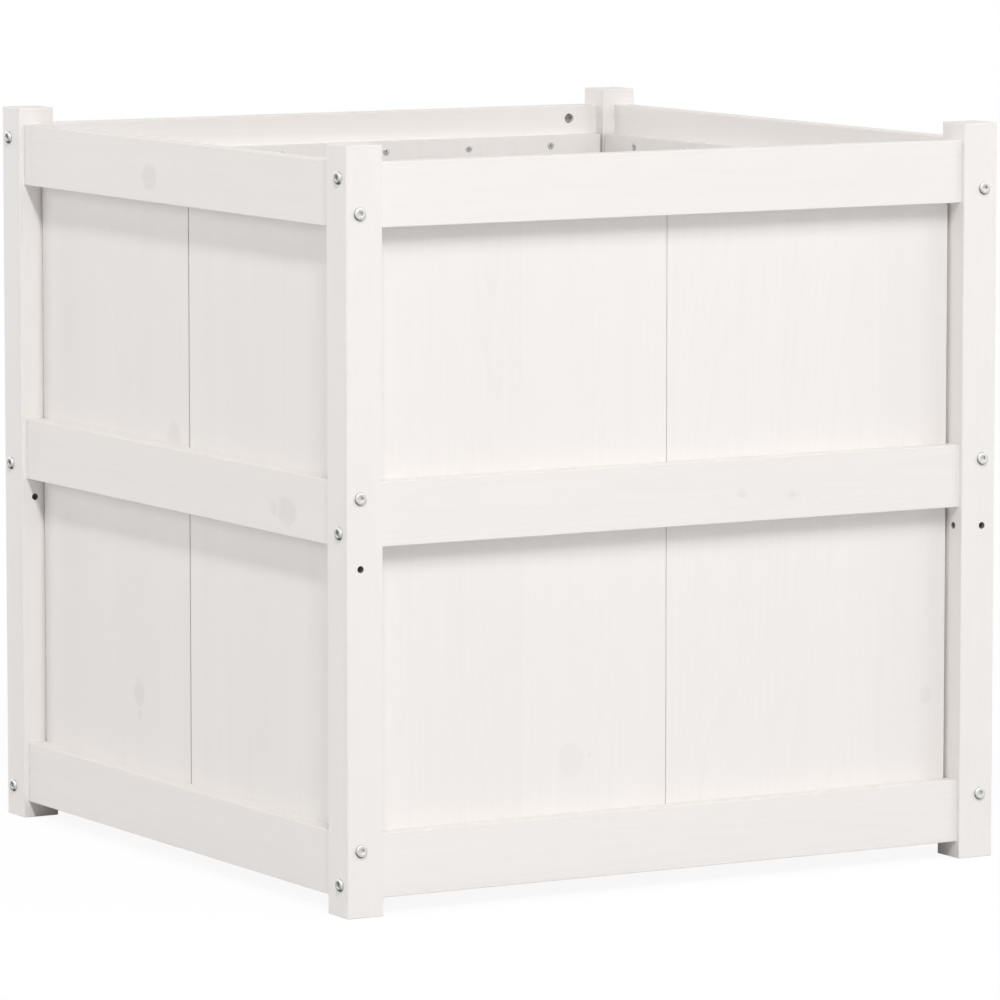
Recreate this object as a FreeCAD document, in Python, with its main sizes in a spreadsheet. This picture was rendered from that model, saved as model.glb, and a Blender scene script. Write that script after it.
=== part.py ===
"""A free-standing square wooden planter, built up from separate timbers and fasteners.

Four posts stand at the corners. Each wall has three rails between two posts and two panels behind the rails.
A bolt with a barrel nut and a dowel join each rail end to its post, and screws hold the panels from inside.
A floor of slats with drainage gaps lies on two bearers along the front and rear walls.

Millimetres, +Z up. The front wall faces -Y, and the origin is on the ground in the middle of the footprint.
"""

import FreeCAD, Part
import os
import Sketcher

# Driving dimensions: name, value and meaning
SIZES = [
    ("planter_width", 700, "outside, from the left posts to the right posts"),
    ("planter_depth", 700, "outside, from the front posts to the rear posts"),
    ("planter_height", 700, "ground to the tops of the posts"),
    ("post_side", 37, "square section of a post"),
    ("post_edge_radius", 0.8, "rounding of a post's edges"),
    ("rail_height", 59, "rail section, up"),
    ("rail_thickness", 18, "rail section, through the wall"),
    ("rail_edge_radius", 0.8, "rounding of a rail's long edges"),
    ("rail_setback", 5, "posts' outer faces to the rails' outer faces"),
    ("rail_end_gap", 16, "ground to the bottom rails, and top rails to the tops of the posts"),
    ("hole_pitch", 32, "bolt to dowel in one rail end, up the post"),
    ("bolt_diameter", 6, "shank of a rail bolt"),
    ("bolt_clearance", 0.25, "gap round a bolt in its hole"),
    ("bolt_head_diameter", 12, "round head of a rail bolt"),
    ("bolt_head_height", 2.4, "bolt head above the post"),
    ("bolt_head_rim", 0.6, "straight rim below the rounding of a bolt head"),
    ("hex_socket_width", 4, "across the flats of a bolt's socket"),
    ("hex_socket_depth", 2.0, "depth of a bolt's socket"),
    ("bolt_tip", 6, "end of a bolt past its barrel nut"),
    ("barrel_diameter", 10, "barrel nut"),
    ("barrel_inset", 32, "end of a rail to the middle of its barrel nut"),
    ("barrel_cover", 4, "barrel nut's distance from each face of its rail"),
    ("barrel_slot_width", 1.6, "turning slot in the end of a barrel nut"),
    ("barrel_slot_depth", 1.5, "depth of that slot"),
    ("dowel_diameter", 6, "wooden dowel"),
    ("dowel_in_rail", 18, "length of a dowel in its rail"),
    ("dowel_wall", 7.75, "wood between a dowel and the bolt hole that crosses ahead of it"),
    ("dowel_chamfer", 0.8, "bevel at both ends of a dowel"),
    ("panel_thickness", 14, "wall panel"),
    ("panel_edge_radius", 0.4, "rounding of a panel's upright edges"),
    ("panel_post_gap", 3, "side of a panel to its post"),
    ("panel_seam", 0.6, "gap between the two panels of a wall"),
    ("panel_lap", 29.5, "reach of a panel over the top rail and over the bottom rail"),
    ("screw_diameter", 4, "shank of a wood screw"),
    ("screw_head_diameter", 8, "countersunk head of a wood screw"),
    ("screw_point", 5, "length of a wood screw's point"),
    ("screw_cross_length", 4.4, "cross recess in a screw head"),
    ("screw_cross_width", 1, "width of an arm of that cross"),
    ("screw_cross_depth", 1.4, "depth of that cross"),
    ("screw_cover", 2, "wood left ahead of the point of a wall screw"),
    ("screw_side_inset", 58.85, "side of a panel to its outer screws"),
    ("screw_end_inset", 10, "top or bottom of a panel to its nearest row of screws"),
    ("bearer_height", 30, "floor bearer, up"),
    ("bearer_depth", 20, "floor bearer, out from the wall"),
    ("slat_width", 59, "floor slat"),
    ("slat_thickness", 18, "floor slat"),
    ("floor_edge_radius", 2, "rounding of the long edges of slats and bearers"),
    ("floor_gap", 2, "ends of slats and bearers to the walls"),
    ("drain_gap", 8, "least gap between floor slats"),
    ("slat_screw_bite", 12, "reach of a slat screw into its bearer"),
    ("fit_clearance", 0.1, "gap round dowels, barrel nuts and screws"),
    ("drill_margin", 1, "depth of a blind hole past what it holds"),
]

# Angle in degrees between the drive of one fastener and the next, as if each was tightened by hand
DRIVE_TURN = 47

# A wall's turn about Z, then X and Y for a place given along the wall from its middle and inward
# from the posts' outer faces
WALLS = {
    "front": (0, "({along})", "(-Sizes.planter_depth / 2 + {inward})"),
    "right": (90, "(Sizes.planter_width / 2 - {inward})", "({along})"),
    "rear": (180, "(-({along}))", "(Sizes.planter_depth / 2 - {inward})"),
    "left": (270, "(-Sizes.planter_width / 2 + {inward})", "(-({along}))"),
}
WALL_SPAN = {
    "front": "Sizes.planter_width",
    "right": "Sizes.planter_depth",
    "rear": "Sizes.planter_width",
    "left": "Sizes.planter_depth",
}
# The panels at the near and far end of each wall's own direction, by the side of the planter they are on
PANEL_SIDES = {
    "front": ("left", "right"),
    "right": ("front", "rear"),
    "rear": ("right", "left"),
    "left": ("rear", "front"),
}
FLOOR_WALLS = ("front", "rear")
LEVELS = ("bottom", "middle", "top")

# Distances inward from the posts' outer faces
BOLT_LINE = "(Sizes.rail_setback + Sizes.rail_thickness / 2)"
BARREL_START = "(Sizes.rail_setback + Sizes.barrel_cover)"
RAIL_INNER = "(Sizes.rail_setback + Sizes.rail_thickness)"
PANEL_INNER = f"({RAIL_INNER} + Sizes.panel_thickness)"
WALL_REACH = f"max({PANEL_INNER}; Sizes.post_side)"
FLOOR_START = f"({WALL_REACH} + Sizes.floor_gap)"
BEARER_MIDDLE = f"({PANEL_INNER} + Sizes.bearer_depth / 2)"

# Heights above the ground
LOW_HOLE_IN_RAIL = "((Sizes.rail_height - Sizes.hole_pitch) / 2)"
HIGH_HOLE_IN_RAIL = "((Sizes.rail_height + Sizes.hole_pitch) / 2)"
RAIL_LOW = {
    "bottom": "Sizes.rail_end_gap",
    "middle": f"(Sizes.planter_height / 2 - {LOW_HOLE_IN_RAIL})",
    "top": "(Sizes.planter_height - Sizes.rail_end_gap - Sizes.rail_height)",
}
PANEL_LOW = f"({RAIL_LOW['bottom']} + Sizes.rail_height - Sizes.panel_lap)"
PANEL_HIGH = f"({RAIL_LOW['top']} + Sizes.panel_lap)"
SCREW_ROW = {
    "bottom": f"({PANEL_LOW} + Sizes.screw_end_inset)",
    "middle": f"({RAIL_LOW['middle']} + Sizes.rail_height / 2)",
    "top": f"({PANEL_HIGH} - Sizes.screw_end_inset)",
}
FLOOR_LOW = f"({PANEL_LOW} + Sizes.bearer_height)"

# Sizes of holes and fasteners that follow from the driving dimensions
BOLT_HOLE = "(Sizes.bolt_diameter + 2 * Sizes.bolt_clearance)"
BARREL_HOLE = "(Sizes.barrel_diameter + 2 * Sizes.fit_clearance)"
DOWEL_HOLE = "(Sizes.dowel_diameter + 2 * Sizes.fit_clearance)"
SCREW_HOLE = "(Sizes.screw_diameter + 2 * Sizes.fit_clearance)"
SCREW_SINK = "(Sizes.screw_head_diameter + 2 * Sizes.fit_clearance)"
BOLT_IN_RAIL = "(Sizes.barrel_inset + Sizes.barrel_diameter / 2 + Sizes.bolt_tip)"
BOLT_LENGTH = f"(Sizes.post_side + {BOLT_IN_RAIL})"
BARREL_LENGTH = "(Sizes.rail_thickness - 2 * Sizes.barrel_cover)"
DOWEL_IN_POST = f"(Sizes.post_side - {BOLT_LINE} - {BOLT_HOLE} / 2 - Sizes.dowel_wall)"
SCREW_IN_RAIL = "(Sizes.rail_thickness - Sizes.screw_cover)"
PANEL_SCREW_LENGTH = f"(Sizes.panel_thickness + {SCREW_IN_RAIL})"
BEARER_SCREW_LENGTH = f"(Sizes.bearer_depth + {PANEL_SCREW_LENGTH})"
SLAT_SCREW_LENGTH = "(Sizes.slat_thickness + Sizes.slat_screw_bite)"

X_AXIS = FreeCAD.Vector(1, 0, 0)
Y_AXIS = FreeCAD.Vector(0, 1, 0)
Z_AXIS = FreeCAD.Vector(0, 0, 1)
TO_LEFT_END = FreeCAD.Rotation(Y_AXIS, -90)
TO_RIGHT_END = FreeCAD.Rotation(Y_AXIS, 90)
FACING_INWARD = FreeCAD.Rotation(X_AXIS, -90)
UPRIGHT = FreeCAD.Rotation()

doc = FreeCAD.newDocument("planter")
subparts = []


def fill_sheet():
    """Writes the driving dimensions to the sheet, one row each."""
    sheet = doc.addObject("Spreadsheet::Sheet", "Sizes")
    for row, (name, value, meaning) in enumerate(SIZES, 1):
        sheet.set(f"A{row}", name)
        sheet.set(f"B{row}", str(value))
        sheet.set(f"C{row}", meaning)
        sheet.setAlias(f"B{row}", name)
    doc.recompute()
    return sheet


def new_body(label):
    """An empty body that will be one timber, or the pattern for one kind of fastener."""
    body = doc.addObject("PartDesign::Body", label)
    body.Label = label
    return body


def origin_plane(body, role):
    """One of a body's own three planes, by its role."""
    return next(plane for plane in body.Origin.OriginFeatures if plane.Role == role)


def new_sketch(body, name, role, offset=None):
    """A sketch on one of the body's planes, moved along that plane's normal by an expression."""
    sketch = body.newObject("Sketcher::SketchObject", name)
    sketch.AttachmentSupport = [(origin_plane(body, role), "")]
    sketch.MapMode = "FlatFace"
    if offset:
        sketch.setExpression("AttachmentOffset.Base.z", offset)
    return sketch


def tie_point(sketch, element, point, across, up):
    """Ties a point of a sketch to its two distances from the sketch's origin."""
    for kind, expression in (("DistanceX", across), ("DistanceY", up)):
        number = sketch.addConstraint(Sketcher.Constraint(kind, -1, 1, element, point, 1.0))
        sketch.setExpression(f"Constraints[{number}]", expression)


def outline(body, name, role, corners, offset=None):
    """A closed outline of straight lines through corners, each given as two expressions."""
    sketch = new_sketch(body, name, role, offset)
    values = [(number_of(across), number_of(up)) for across, up in corners]
    points = [FreeCAD.Vector(across, up, 0) for across, up in values]
    count = len(points)
    for index in range(count):
        sketch.addGeometry(Part.LineSegment(points[index], points[(index + 1) % count]), False)
    for index in range(count):
        sketch.addConstraint(Sketcher.Constraint("Coincident", index, 2, (index + 1) % count, 1))
    for index, (across, up) in enumerate(corners):
        tie_point(sketch, index, 1, across, up)
    return sketch


def rectangle(body, name, role, width, height, offset=None):
    """A rectangle from the sketch's origin."""
    corners = [("0", "0"), (width, "0"), (width, height), ("0", height)]
    return outline(body, name, role, corners, offset)


def circles(body, name, role, centres, diameter, offset=None):
    """Equal circles, each centre given as two expressions."""
    sketch = new_sketch(body, name, role, offset)
    radius = number_of(diameter) / 2
    for index, (across, up) in enumerate(centres):
        centre = FreeCAD.Vector(number_of(across), number_of(up), 0)
        sketch.addGeometry(Part.Circle(centre, Z_AXIS, radius), False)
        tie_point(sketch, index, 3, across, up)
        number = sketch.addConstraint(Sketcher.Constraint("Diameter", index, 2 * radius))
        sketch.setExpression(f"Constraints[{number}]", diameter)
    return sketch


def number_of(expression):
    """What an expression is worth now, to start a sketch near its final shape."""
    return float(doc.Sizes.evalExpression(expression.replace("Sizes.", "")))


def pad(body, name, sketch, length, symmetric=False):
    """Raises a sketch to a solid, along its normal or to both sides of it."""
    feature = body.newObject("PartDesign::Pad", name)
    feature.Profile = sketch
    feature.SideType = "Symmetric" if symmetric else "One side"
    feature.setExpression("Length", length)
    doc.recompute()
    return feature


def pocket(body, name, sketch, depth=None, along_normal=False):
    """Cuts a sketch into the solid, to a depth or right through."""
    feature = body.newObject("PartDesign::Pocket", name)
    feature.Profile = sketch
    feature.Reversed = along_normal
    if depth:
        feature.Type = "Length"
        feature.setExpression("Length", depth)
    else:
        feature.Type = "ThroughAll"
    doc.recompute()
    return feature


def countersunk_holes(body, name, sketch, along_normal=False):
    """Through holes for wood screws, countersunk at the sketch."""
    doc.recompute()
    feature = body.newObject("PartDesign::Hole", name)
    feature.Profile = sketch
    feature.Reversed = along_normal
    feature.ThreadType = "None"
    feature.DepthType = "ThroughAll"
    feature.HoleCutType = "Countersink"
    feature.HoleCutCustomValues = True
    feature.HoleCutCountersinkAngle = 90
    feature.setExpression("Diameter", SCREW_HOLE)
    feature.setExpression("HoleCutDiameter", SCREW_SINK)
    doc.recompute()
    return feature


def round_edges(body, name, base, radius, along=None):
    """Rounds a solid's straight edges along one direction, or all its edges."""
    feature = body.newObject("PartDesign::Fillet", name)
    names = [
        f"Edge{number}"
        for number, edge in enumerate(base.Shape.Edges, 1)
        if along is None or abs(edge.tangentAt(edge.FirstParameter).dot(along)) > 0.999
    ]
    feature.Base = (base, names)
    feature.setExpression("Radius", radius)
    doc.recompute()
    return feature


def mirror_ends(body, features):
    """Repeats features made at one end of a timber at its other end."""
    feature = body.newObject("PartDesign::Mirrored", "other_end")
    feature.Originals = features
    feature.MirrorPlane = (origin_plane(body, "YZ_Plane"), [""])
    body.Tip = feature
    doc.recompute()
    return feature


def place(item, turn, x, y, z):
    """Turns an object and ties its place to three expressions."""
    item.Placement = FreeCAD.Placement(FreeCAD.Vector(), turn)
    for axis, expression in zip("xyz", (x, y, z)):
        item.setExpression(f"Placement.Base.{axis}", expression)


def place_on_wall(item, wall, along, inward, up, turn=UPRIGHT):
    """Places an object on a wall, along it from its middle and inward from the posts' outer faces."""
    angle, x, y = WALLS[wall]
    places = {"along": along, "inward": inward}
    place(item, FreeCAD.Rotation(Z_AXIS, angle) * turn, x.format(**places), y.format(**places), up)


def rail_ends(wall, level):
    """Heights in a rail of its bolts and of its dowels, which swap places from wall to wall."""
    bolts_low = (wall in FLOOR_WALLS) != (level == "top")
    if bolts_low:
        return LOW_HOLE_IN_RAIL, HIGH_HOLE_IN_RAIL
    return HIGH_HOLE_IN_RAIL, LOW_HOLE_IN_RAIL


def rail_length(wall):
    return f"({WALL_SPAN[wall]} - 2 * Sizes.post_side)"


def panel_width(wall):
    sides = f"2 * ({WALL_REACH} + Sizes.panel_post_gap)"
    return f"(({WALL_SPAN[wall]} - {sides} - Sizes.panel_seam) / 2)"


def panel_columns(wall):
    """Where the screws stand across one panel."""
    width = panel_width(wall)
    return ["Sizes.screw_side_inset", f"({width} / 2)", f"({width} - Sizes.screw_side_inset)"]


def bearer_columns(wall):
    """Where the bearer screws stand across one panel, halfway between the panel's own screws."""
    first, middle, last = panel_columns(wall)
    return [f"(({first} + {middle}) / 2)", f"(({middle} + {last}) / 2)"]


def from_seam(columns):
    """Places across the panel to the right of a wall's seam, as places along the wall."""
    return [f"(Sizes.panel_seam / 2 + {column})" for column in columns]


def make_posts():
    """Four alike posts, drilled the same from both ends, so that each corner takes one turned over."""
    low = f"({RAIL_LOW['bottom']} + {LOW_HOLE_IN_RAIL})"
    half = "(Sizes.planter_height / 2)"
    outer_three = [low, half, f"(Sizes.planter_height - {low})"]
    inner_four = [
        f"({low} + Sizes.hole_pitch)",
        f"({half} - Sizes.hole_pitch)",
        f"({half} + Sizes.hole_pitch)",
        f"(Sizes.planter_height - {low} - Sizes.hole_pitch)",
    ]
    dowel_depth = f"({DOWEL_IN_POST} + Sizes.drill_margin)"
    corners = [
        ("front_left_post", -1, -1, UPRIGHT, "0"),
        ("front_right_post", 1, -1, FreeCAD.Rotation(Y_AXIS, 180), "Sizes.planter_height"),
        ("rear_left_post", -1, 1, FreeCAD.Rotation(X_AXIS, 180), "Sizes.planter_height"),
        ("rear_right_post", 1, 1, FreeCAD.Rotation(Z_AXIS, 180), "0"),
    ]
    for label, side_x, side_y, turn, up in corners:
        body = new_body(label)
        section = rectangle(body, "section", "XY_Plane", "Sizes.post_side", "Sizes.post_side")
        blank = pad(body, "blank", section, "Sizes.planter_height")
        round_edges(body, "rounding", blank, "Sizes.post_edge_radius")
        across = [(BOLT_LINE, up_post) for up_post in outer_three]
        fore_aft = [(BOLT_LINE, up_post) for up_post in inner_four]
        inner_x = "Sizes.post_side"
        inner_y = "-Sizes.post_side"
        pocket(body, "bolts_x", circles(body, "at_bolts_x", "YZ_Plane", across, BOLT_HOLE), None, True)
        pocket(body, "bolts_y", circles(body, "at_bolts_y", "XZ_Plane", fore_aft, BOLT_HOLE))
        at_dowels_x = circles(body, "at_dowels_x", "YZ_Plane", fore_aft, DOWEL_HOLE, inner_x)
        pocket(body, "dowels_x", at_dowels_x, dowel_depth)
        at_dowels_y = circles(body, "at_dowels_y", "XZ_Plane", across, DOWEL_HOLE, inner_y)
        pocket(body, "dowels_y", at_dowels_y, dowel_depth, True)
        place(body, turn, f"{side_x} * Sizes.planter_width / 2", f"{side_y} * Sizes.planter_depth / 2", up)
        subparts.append(body)


def make_rail(wall, level):
    """One rail, with its bolt, dowel, barrel nut and screw holes."""
    body = new_body(f"{wall}_{level}_rail")
    length = rail_length(wall)
    bolt_up, dowel_up = rail_ends(wall, level)
    end_plane = f"{length} / 2"
    inner_face = "-Sizes.rail_thickness"
    section = rectangle(body, "section", "YZ_Plane", "Sizes.rail_thickness", "Sizes.rail_height")
    blank = pad(body, "blank", section, length, symmetric=True)
    round_edges(body, "rounding", blank, "Sizes.rail_edge_radius", X_AXIS)
    middle = "(Sizes.rail_thickness / 2)"
    at_bolt = circles(body, "at_bolt", "YZ_Plane", [(middle, bolt_up)], BOLT_HOLE, end_plane)
    at_dowel = circles(body, "at_dowel", "YZ_Plane", [(middle, dowel_up)], DOWEL_HOLE, end_plane)
    barrel = [(f"({length} / 2 - Sizes.barrel_inset)", bolt_up)]
    at_barrel = circles(body, "at_barrel", "XZ_Plane", barrel, BARREL_HOLE, inner_face)
    columns = from_seam(panel_columns(wall))
    if level == "bottom" and wall in FLOOR_WALLS:
        columns += from_seam(bearer_columns(wall))
    row = f"({SCREW_ROW[level]} - {RAIL_LOW[level]})"
    at_screws = circles(body, "at_screws", "XZ_Plane", [(x, row) for x in columns], SCREW_HOLE, inner_face)
    cuts = [
        pocket(body, "bolt", at_bolt, f"({BOLT_IN_RAIL} + Sizes.drill_margin)"),
        pocket(body, "dowel", at_dowel, "(Sizes.dowel_in_rail + Sizes.drill_margin)"),
        pocket(body, "barrel", at_barrel, "(Sizes.rail_thickness - Sizes.barrel_cover)", True),
        pocket(body, "screws", at_screws, f"({SCREW_IN_RAIL} + Sizes.drill_margin)", True),
    ]
    mirror_ends(body, cuts)
    place_on_wall(body, wall, "0", "Sizes.rail_setback", RAIL_LOW[level])
    subparts.append(body)


def make_panel(wall, side, along):
    """One wall panel with three rows of countersunk holes, and plain holes where a bearer is fixed."""
    body = new_body(f"{wall}_{side}_panel")
    width = panel_width(wall)
    height = f"({PANEL_HIGH} - {PANEL_LOW})"
    inner_face = "-Sizes.panel_thickness"
    section = rectangle(body, "section", "XY_Plane", width, "Sizes.panel_thickness")
    blank = pad(body, "blank", section, height)
    round_edges(body, "rounding", blank, "Sizes.panel_edge_radius", Z_AXIS)
    rows = [f"({SCREW_ROW[level]} - {PANEL_LOW})" for level in LEVELS]
    grid = [(column, row) for row in rows for column in panel_columns(wall)]
    at_screws = circles(body, "at_screws", "XZ_Plane", grid, SCREW_HOLE, inner_face)
    countersunk_holes(body, "screws", at_screws, True)
    if wall in FLOOR_WALLS:
        line = [(column, "Sizes.screw_end_inset") for column in bearer_columns(wall)]
        at_bearer = circles(body, "at_bearer", "XZ_Plane", line, SCREW_HOLE, inner_face)
        pocket(body, "bearer", at_bearer, None, True)
    place_on_wall(body, wall, along, RAIL_INNER, PANEL_LOW)
    subparts.append(body)


def make_walls():
    for wall in WALLS:
        for level in LEVELS:
            make_rail(wall, level)
        near, far = PANEL_SIDES[wall]
        make_panel(wall, near, f"-Sizes.panel_seam / 2 - {panel_width(wall)}")
        make_panel(wall, far, "Sizes.panel_seam / 2")


def floor_layout():
    """How many slats fit with at least the drain gap, and expressions for their even gap and pitch."""
    inside = f"(Sizes.planter_width - 2 * {WALL_REACH})"
    least = number_of("Sizes.drain_gap")
    count = int((number_of(inside) - least) // (number_of("Sizes.slat_width") + least))
    gap = f"(({inside} - {count} * Sizes.slat_width) / {count + 1})"
    return count, gap, f"(Sizes.slat_width + {gap})"


def make_floor():
    """Two bearers, and slats from front to rear across them."""
    count, gap, pitch = floor_layout()
    for wall in FLOOR_WALLS:
        body = new_body(f"{wall}_floor_bearer")
        length = f"(Sizes.planter_width - 2 * {FLOOR_START})"
        section = rectangle(body, "section", "YZ_Plane", "Sizes.bearer_depth", "Sizes.bearer_height")
        blank = pad(body, "blank", section, length, symmetric=True)
        round_edges(body, "rounding", blank, "Sizes.floor_edge_radius", X_AXIS)
        line = [(column, "Sizes.screw_end_inset") for column in from_seam(bearer_columns(wall))]
        at_wall = circles(body, "at_wall_screws", "XZ_Plane", line, SCREW_HOLE, "-Sizes.bearer_depth")
        wall_holes = countersunk_holes(body, "wall_screw_holes", at_wall, True)
        mirror_ends(body, [wall_holes])
        middle = "Sizes.bearer_depth / 2"
        spots = [(f"{index - (count - 1) / 2} * {pitch}", middle) for index in range(count)]
        at_slats = circles(body, "at_slat_screws", "XY_Plane", spots, SCREW_HOLE, "Sizes.bearer_height")
        body.Tip = pocket(body, "slat_screw_holes", at_slats, "(Sizes.slat_screw_bite + Sizes.drill_margin)")
        place_on_wall(body, wall, "0", PANEL_INNER, PANEL_LOW)
        subparts.append(body)
    for index in range(count):
        body = new_body(f"floor_slat_{index + 1}")
        length = f"(Sizes.planter_depth - 2 * {FLOOR_START})"
        section = rectangle(body, "section", "XZ_Plane", "Sizes.slat_width", "Sizes.slat_thickness")
        blank = pad(body, "blank", section, length, symmetric=True)
        round_edges(body, "rounding", blank, "Sizes.floor_edge_radius", Y_AXIS)
        reach = f"(Sizes.planter_depth / 2 - {BEARER_MIDDLE})"
        spots = [("(Sizes.slat_width / 2)", f"{sign} * {reach}") for sign in (-1, 1)]
        at_screws = circles(body, "at_screws", "XY_Plane", spots, SCREW_HOLE, "Sizes.slat_thickness")
        countersunk_holes(body, "screws", at_screws)
        left = f"{index - count / 2} * {pitch} + {gap} / 2"
        place(body, UPRIGHT, left, "0", FLOOR_LOW)
        subparts.append(body)
    return count, pitch


def bolt_pattern():
    """A rail bolt along Z: head above the origin, with a hex socket, and shank below."""
    body = new_body("bolt_pattern")
    disc = circles(body, "head_disc", "XY_Plane", [("0", "0")], "Sizes.bolt_head_diameter")
    head = pad(body, "head", disc, "Sizes.bolt_head_height")
    top = [f"Edge{n}" for n, edge in enumerate(head.Shape.Edges, 1) if edge.BoundBox.ZMin > 0]
    dome = body.newObject("PartDesign::Fillet", "dome")
    dome.Base = (head, top)
    dome.setExpression("Radius", "Sizes.bolt_head_height - Sizes.bolt_head_rim")
    doc.recompute()
    corner = "Sizes.hex_socket_width / sqrt(3)"
    half_side = f"{corner} / 2"
    half_width = "Sizes.hex_socket_width / 2"
    hexagon = [
        (corner, "0"),
        (half_side, half_width),
        (f"-{half_side}", half_width),
        (f"-{corner}", "0"),
        (f"-{half_side}", f"-{half_width}"),
        (half_side, f"-{half_width}"),
    ]
    at_socket = outline(body, "at_socket", "XY_Plane", hexagon, "Sizes.bolt_head_height")
    pocket(body, "socket", at_socket, "Sizes.hex_socket_depth")
    tip = f"-{BOLT_LENGTH}"
    shank_disc = circles(body, "shank_disc", "XY_Plane", [("0", "0")], "Sizes.bolt_diameter", tip)
    pad(body, "shank", shank_disc, BOLT_LENGTH)
    return body


def barrel_pattern():
    """A barrel nut along Z from the blind end of its hole, with a cross hole and a turning slot."""
    body = new_body("barrel_pattern")
    disc = circles(body, "disc", "XY_Plane", [("0", "0")], "Sizes.barrel_diameter")
    pad(body, "barrel", disc, BARREL_LENGTH)
    thread = "(Sizes.bolt_diameter + 2 * Sizes.fit_clearance)"
    centre = [("0", f"{BARREL_LENGTH} / 2")]
    at_thread = circles(body, "at_thread", "YZ_Plane", centre, thread, "-Sizes.barrel_diameter / 2")
    pocket(body, "thread", at_thread, None, True)
    half_length = "Sizes.barrel_diameter / 2"
    half_width = "Sizes.barrel_slot_width / 2"
    corners = [
        (f"-{half_length}", f"-{half_width}"),
        (half_length, f"-{half_width}"),
        (half_length, half_width),
        (f"-{half_length}", half_width),
    ]
    at_slot = outline(body, "at_slot", "XY_Plane", corners, BARREL_LENGTH)
    pocket(body, "slot", at_slot, "Sizes.barrel_slot_depth")
    return body


def dowel_pattern():
    """A dowel along Z with bevelled ends: its rail below the origin, its post above."""
    body = new_body("dowel_pattern")
    disc = circles(body, "disc", "XY_Plane", [("0", "0")], "Sizes.dowel_diameter", "-Sizes.dowel_in_rail")
    rod = pad(body, "rod", disc, f"Sizes.dowel_in_rail + {DOWEL_IN_POST}")
    rims = [f"Edge{n}" for n, edge in enumerate(rod.Shape.Edges, 1) if edge.BoundBox.ZLength < 1e-6]
    bevel = body.newObject("PartDesign::Chamfer", "bevel")
    bevel.Base = (rod, rims)
    bevel.setExpression("Size", "Sizes.dowel_chamfer")
    doc.recompute()
    return body


def screw_pattern(label, length):
    """A countersunk wood screw along Z, its flat head at the origin and its point below."""
    body = new_body(label)
    head = "Sizes.screw_head_diameter / 2"
    shank = "Sizes.screw_diameter / 2"
    profile = [
        ("0", "0"),
        (head, "0"),
        (shank, f"{shank} - {head}"),
        (shank, f"Sizes.screw_point - {length}"),
        ("0", f"-{length}"),
    ]
    half = outline(body, "half", "XZ_Plane", profile)
    turned = body.newObject("PartDesign::Revolution", "turned")
    turned.Profile = half
    turned.ReferenceAxis = (half, ["V_Axis"])
    turned.Angle = 360
    doc.recompute()
    arm = "Sizes.screw_cross_length / 2"
    side = "Sizes.screw_cross_width / 2"
    quarter = [(arm, side), (side, side), (side, arm)]
    cross = []
    for swap, sign_x, sign_y in ((False, "", ""), (True, "-", ""), (False, "-", "-"), (True, "", "-")):
        arm_corners = reversed(quarter) if swap else quarter
        cross += [(f"{sign_x}{across}", f"{sign_y}{up}") for across, up in arm_corners]
    at_cross = outline(body, "at_cross", "XY_Plane", cross)
    pocket(body, "cross", at_cross, "Sizes.screw_cross_depth")
    return body


class Group:
    """Alike fasteners that share one pattern and one node."""

    def __init__(self, label, pattern):
        self.label = label
        self.pattern = pattern
        self.items = []

    def next_item(self):
        """One more copy of the pattern, with its drive turned on from the last one's."""
        item = doc.addObject("App::Link", f"{self.label}_{len(self.items) + 1}")
        item.LinkedObject = self.pattern
        drive = FreeCAD.Rotation(Z_AXIS, DRIVE_TURN * len(self.items))
        self.items.append(item)
        return item, drive

    def on_wall(self, wall, along, inward, up, turn):
        item, drive = self.next_item()
        place_on_wall(item, wall, along, inward, up, turn * drive)

    def close(self):
        compound = doc.addObject("Part::Compound", self.label)
        compound.Label = self.label
        compound.Links = self.items
        subparts.append(compound)


def make_rail_fasteners():
    """A bolt, a barrel nut and a dowel at both ends of every rail."""
    bolts = Group("rail_bolts", bolt_pattern())
    barrels = Group("barrel_nuts", barrel_pattern())
    dowels = Group("rail_dowels", dowel_pattern())
    for wall in WALLS:
        for level in LEVELS:
            bolt_up, dowel_up = (f"({RAIL_LOW[level]} + {hole})" for hole in rail_ends(wall, level))
            for sign, turn in (("-", TO_LEFT_END), ("", TO_RIGHT_END)):
                half_rail = f"{rail_length(wall)} / 2"
                bolts.on_wall(wall, f"{sign}{WALL_SPAN[wall]} / 2", BOLT_LINE, bolt_up, turn)
                dowels.on_wall(wall, f"{sign}{half_rail}", BOLT_LINE, dowel_up, turn)
                item, _ = barrels.next_item()
                along = f"{sign}({half_rail} - Sizes.barrel_inset)"
                place_on_wall(item, wall, along, BARREL_START, bolt_up, FACING_INWARD)
    for group in (bolts, barrels, dowels):
        group.close()


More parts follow.
